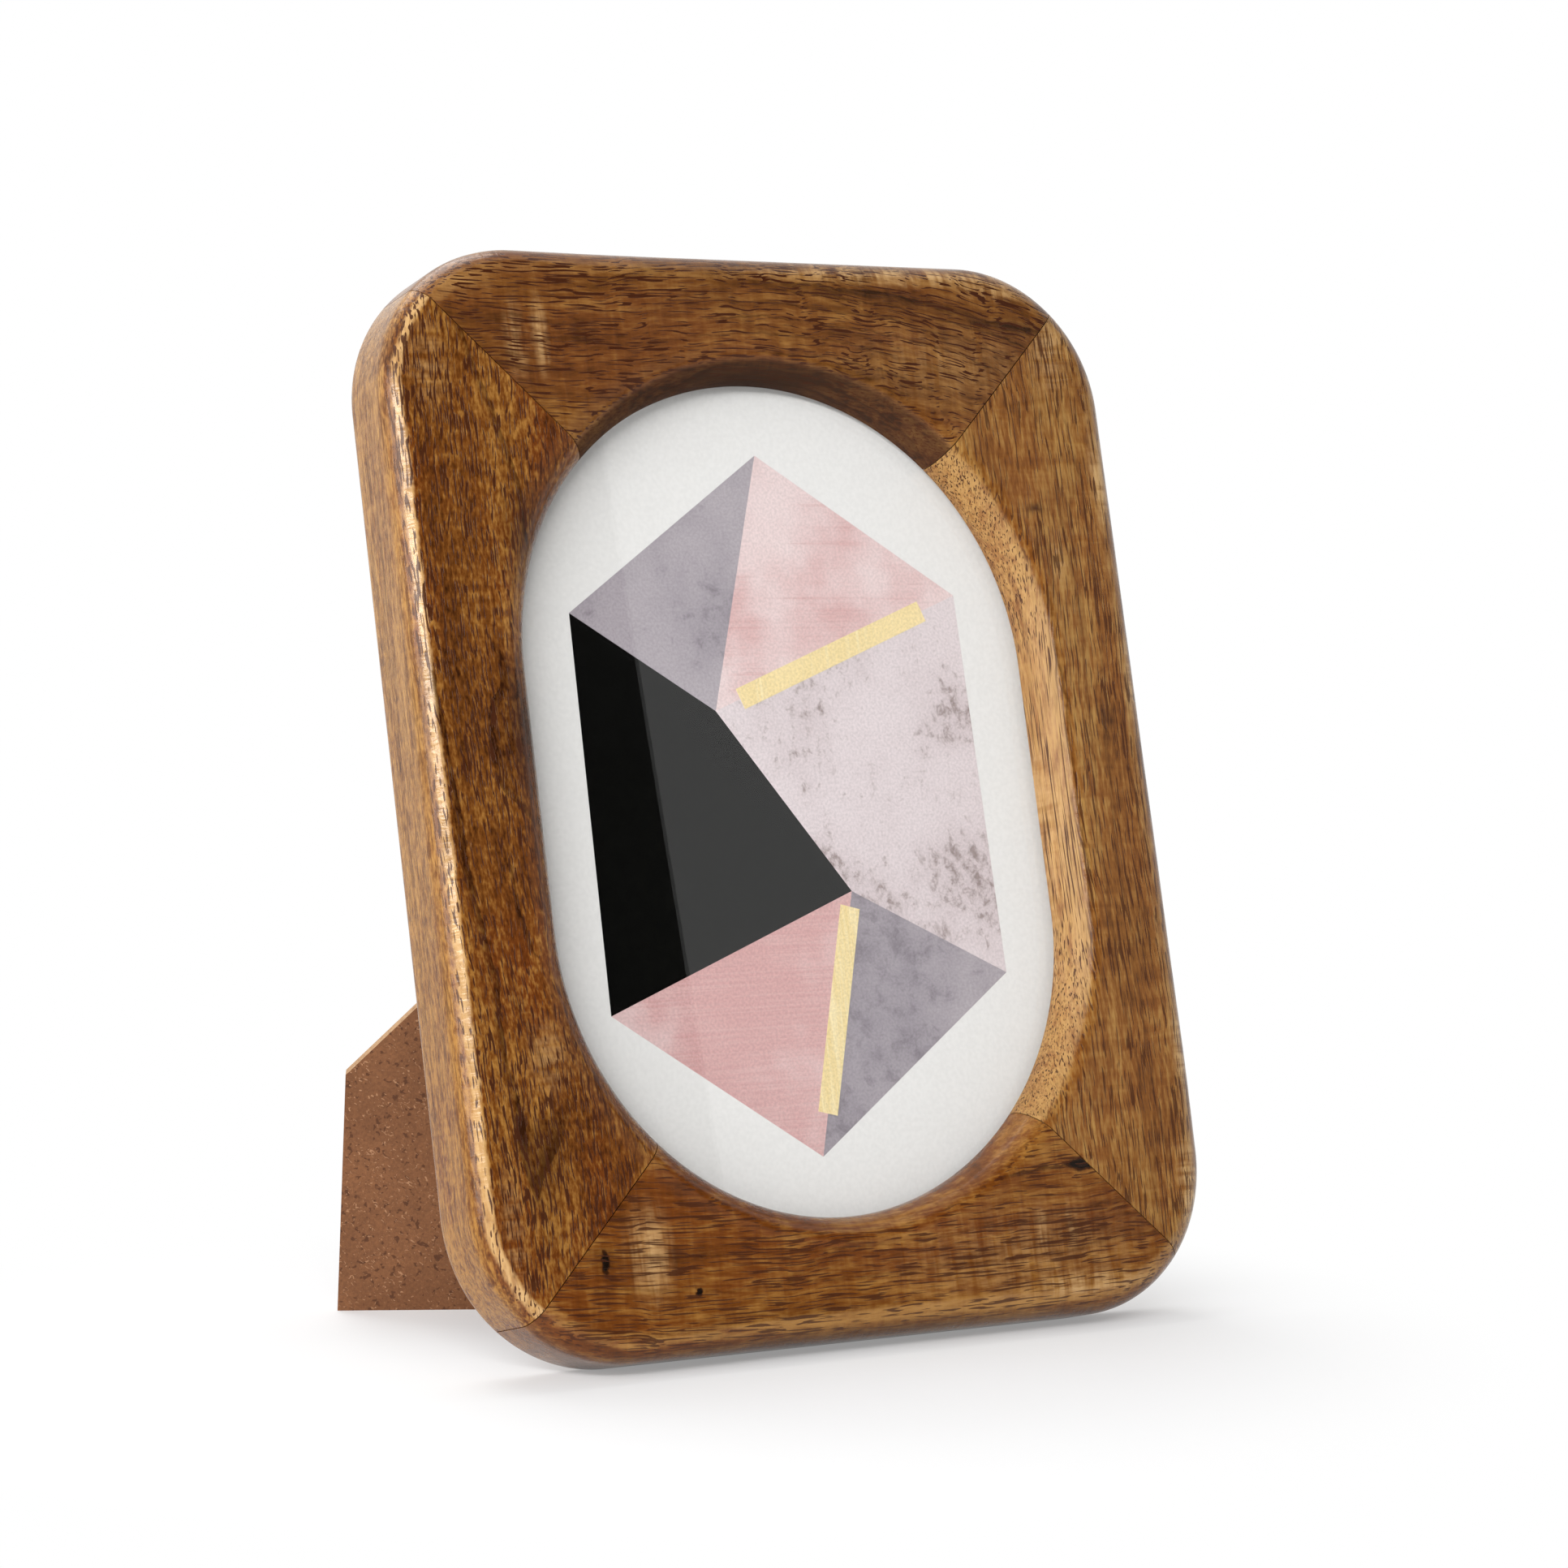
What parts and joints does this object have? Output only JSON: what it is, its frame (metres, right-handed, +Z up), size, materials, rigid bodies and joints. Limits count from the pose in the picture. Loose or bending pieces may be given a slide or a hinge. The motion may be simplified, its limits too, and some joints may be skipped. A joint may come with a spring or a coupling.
{
  "type": "picture frame",
  "caption": "Tabletop picture frame of mitred hardwood with rounded corners and an oval opening, leaning back on a hinged strut set on a diagonal of its back.",
  "frame": {"origin": "on the floor plane, under the middle of the bounding box", "axes": "+Z up, the print faces -Y and the frame leans back towards +Y, +X to the right of someone who faces the print"},
  "size_m": [0.165, 0.0978, 0.2122],
  "materials": {
    "stained_wood": "stained hardwood with a satin lacquer",
    "hardboard": "bare brown hardboard, matt",
    "plated_steel": "zinc plated sheet steel",
    "bright_steel": "bright steel wire and screws",
    "glass": "clear float glass",
    "print_paper": "matt printed paper with a white border",
    "grey_card": "grey chipboard card, matt"
  },
  "bodies": {
    "frame": {"left_rail": "stained_wood", "right_rail": "stained_wood", "top_rail": "stained_wood", "bottom_rail": "stained_wood", "v_nail_top_left": "bright_steel", "v_nail_top_right": "bright_steel", "v_nail_bottom_left": "bright_steel", "v_nail_bottom_right": "bright_steel", "glass_pane": "glass", "print_sheet": "print_paper", "backing_card": "grey_card", "back_board": "hardboard", "button_screw_left": "bright_steel", "button_screw_right": "bright_steel", "button_screw_top": "bright_steel", "button_screw_bottom": "bright_steel", "hinge_fixed_leaf": "plated_steel", "hinge_pin": "bright_steel", "board_rivet_left": "plated_steel", "board_rivet_right": "plated_steel"},
    "strut": {"strut_board": "hardboard", "hinge_moving_leaf": "plated_steel", "strut_rivet_left": "plated_steel", "strut_rivet_right": "plated_steel"},
    "button_left": {"turn_button_left": "plated_steel"},
    "button_right": {"turn_button_right": "plated_steel"},
    "button_top": {"turn_button_top": "plated_steel"},
    "button_bottom": {"turn_button_bottom": "plated_steel"}
  },
  "joints": [
    {"name": "strut_hinge", "type": "hinge", "parent": "frame", "child": "strut", "pos_m": [-0.0035, -0.00993, 0.08246], "axis": [-0.7071, 0.1711, 0.6861], "range_deg": [0, 38.8]},
    {"name": "button_swivel_left", "type": "hinge", "parent": "frame", "child": "button_left", "pos_m": [-0.0725, -0.00577, 0.10409], "axis": [0, 0.9703, -0.2419], "continuous": true},
    {"name": "button_swivel_right", "type": "hinge", "parent": "frame", "child": "button_right", "pos_m": [0.0725, -0.00577, 0.10409], "axis": [0, 0.9703, -0.2419], "continuous": true},
    {"name": "button_swivel_top", "type": "hinge", "parent": "frame", "child": "button_top", "pos_m": [0, 0.01794, 0.19918], "axis": [0, 0.9703, -0.2419], "continuous": true},
    {"name": "button_swivel_bottom", "type": "hinge", "parent": "frame", "child": "button_bottom", "pos_m": [0.026, -0.02948, 0.009], "axis": [0, 0.9703, -0.2419], "continuous": true}
  ]
}
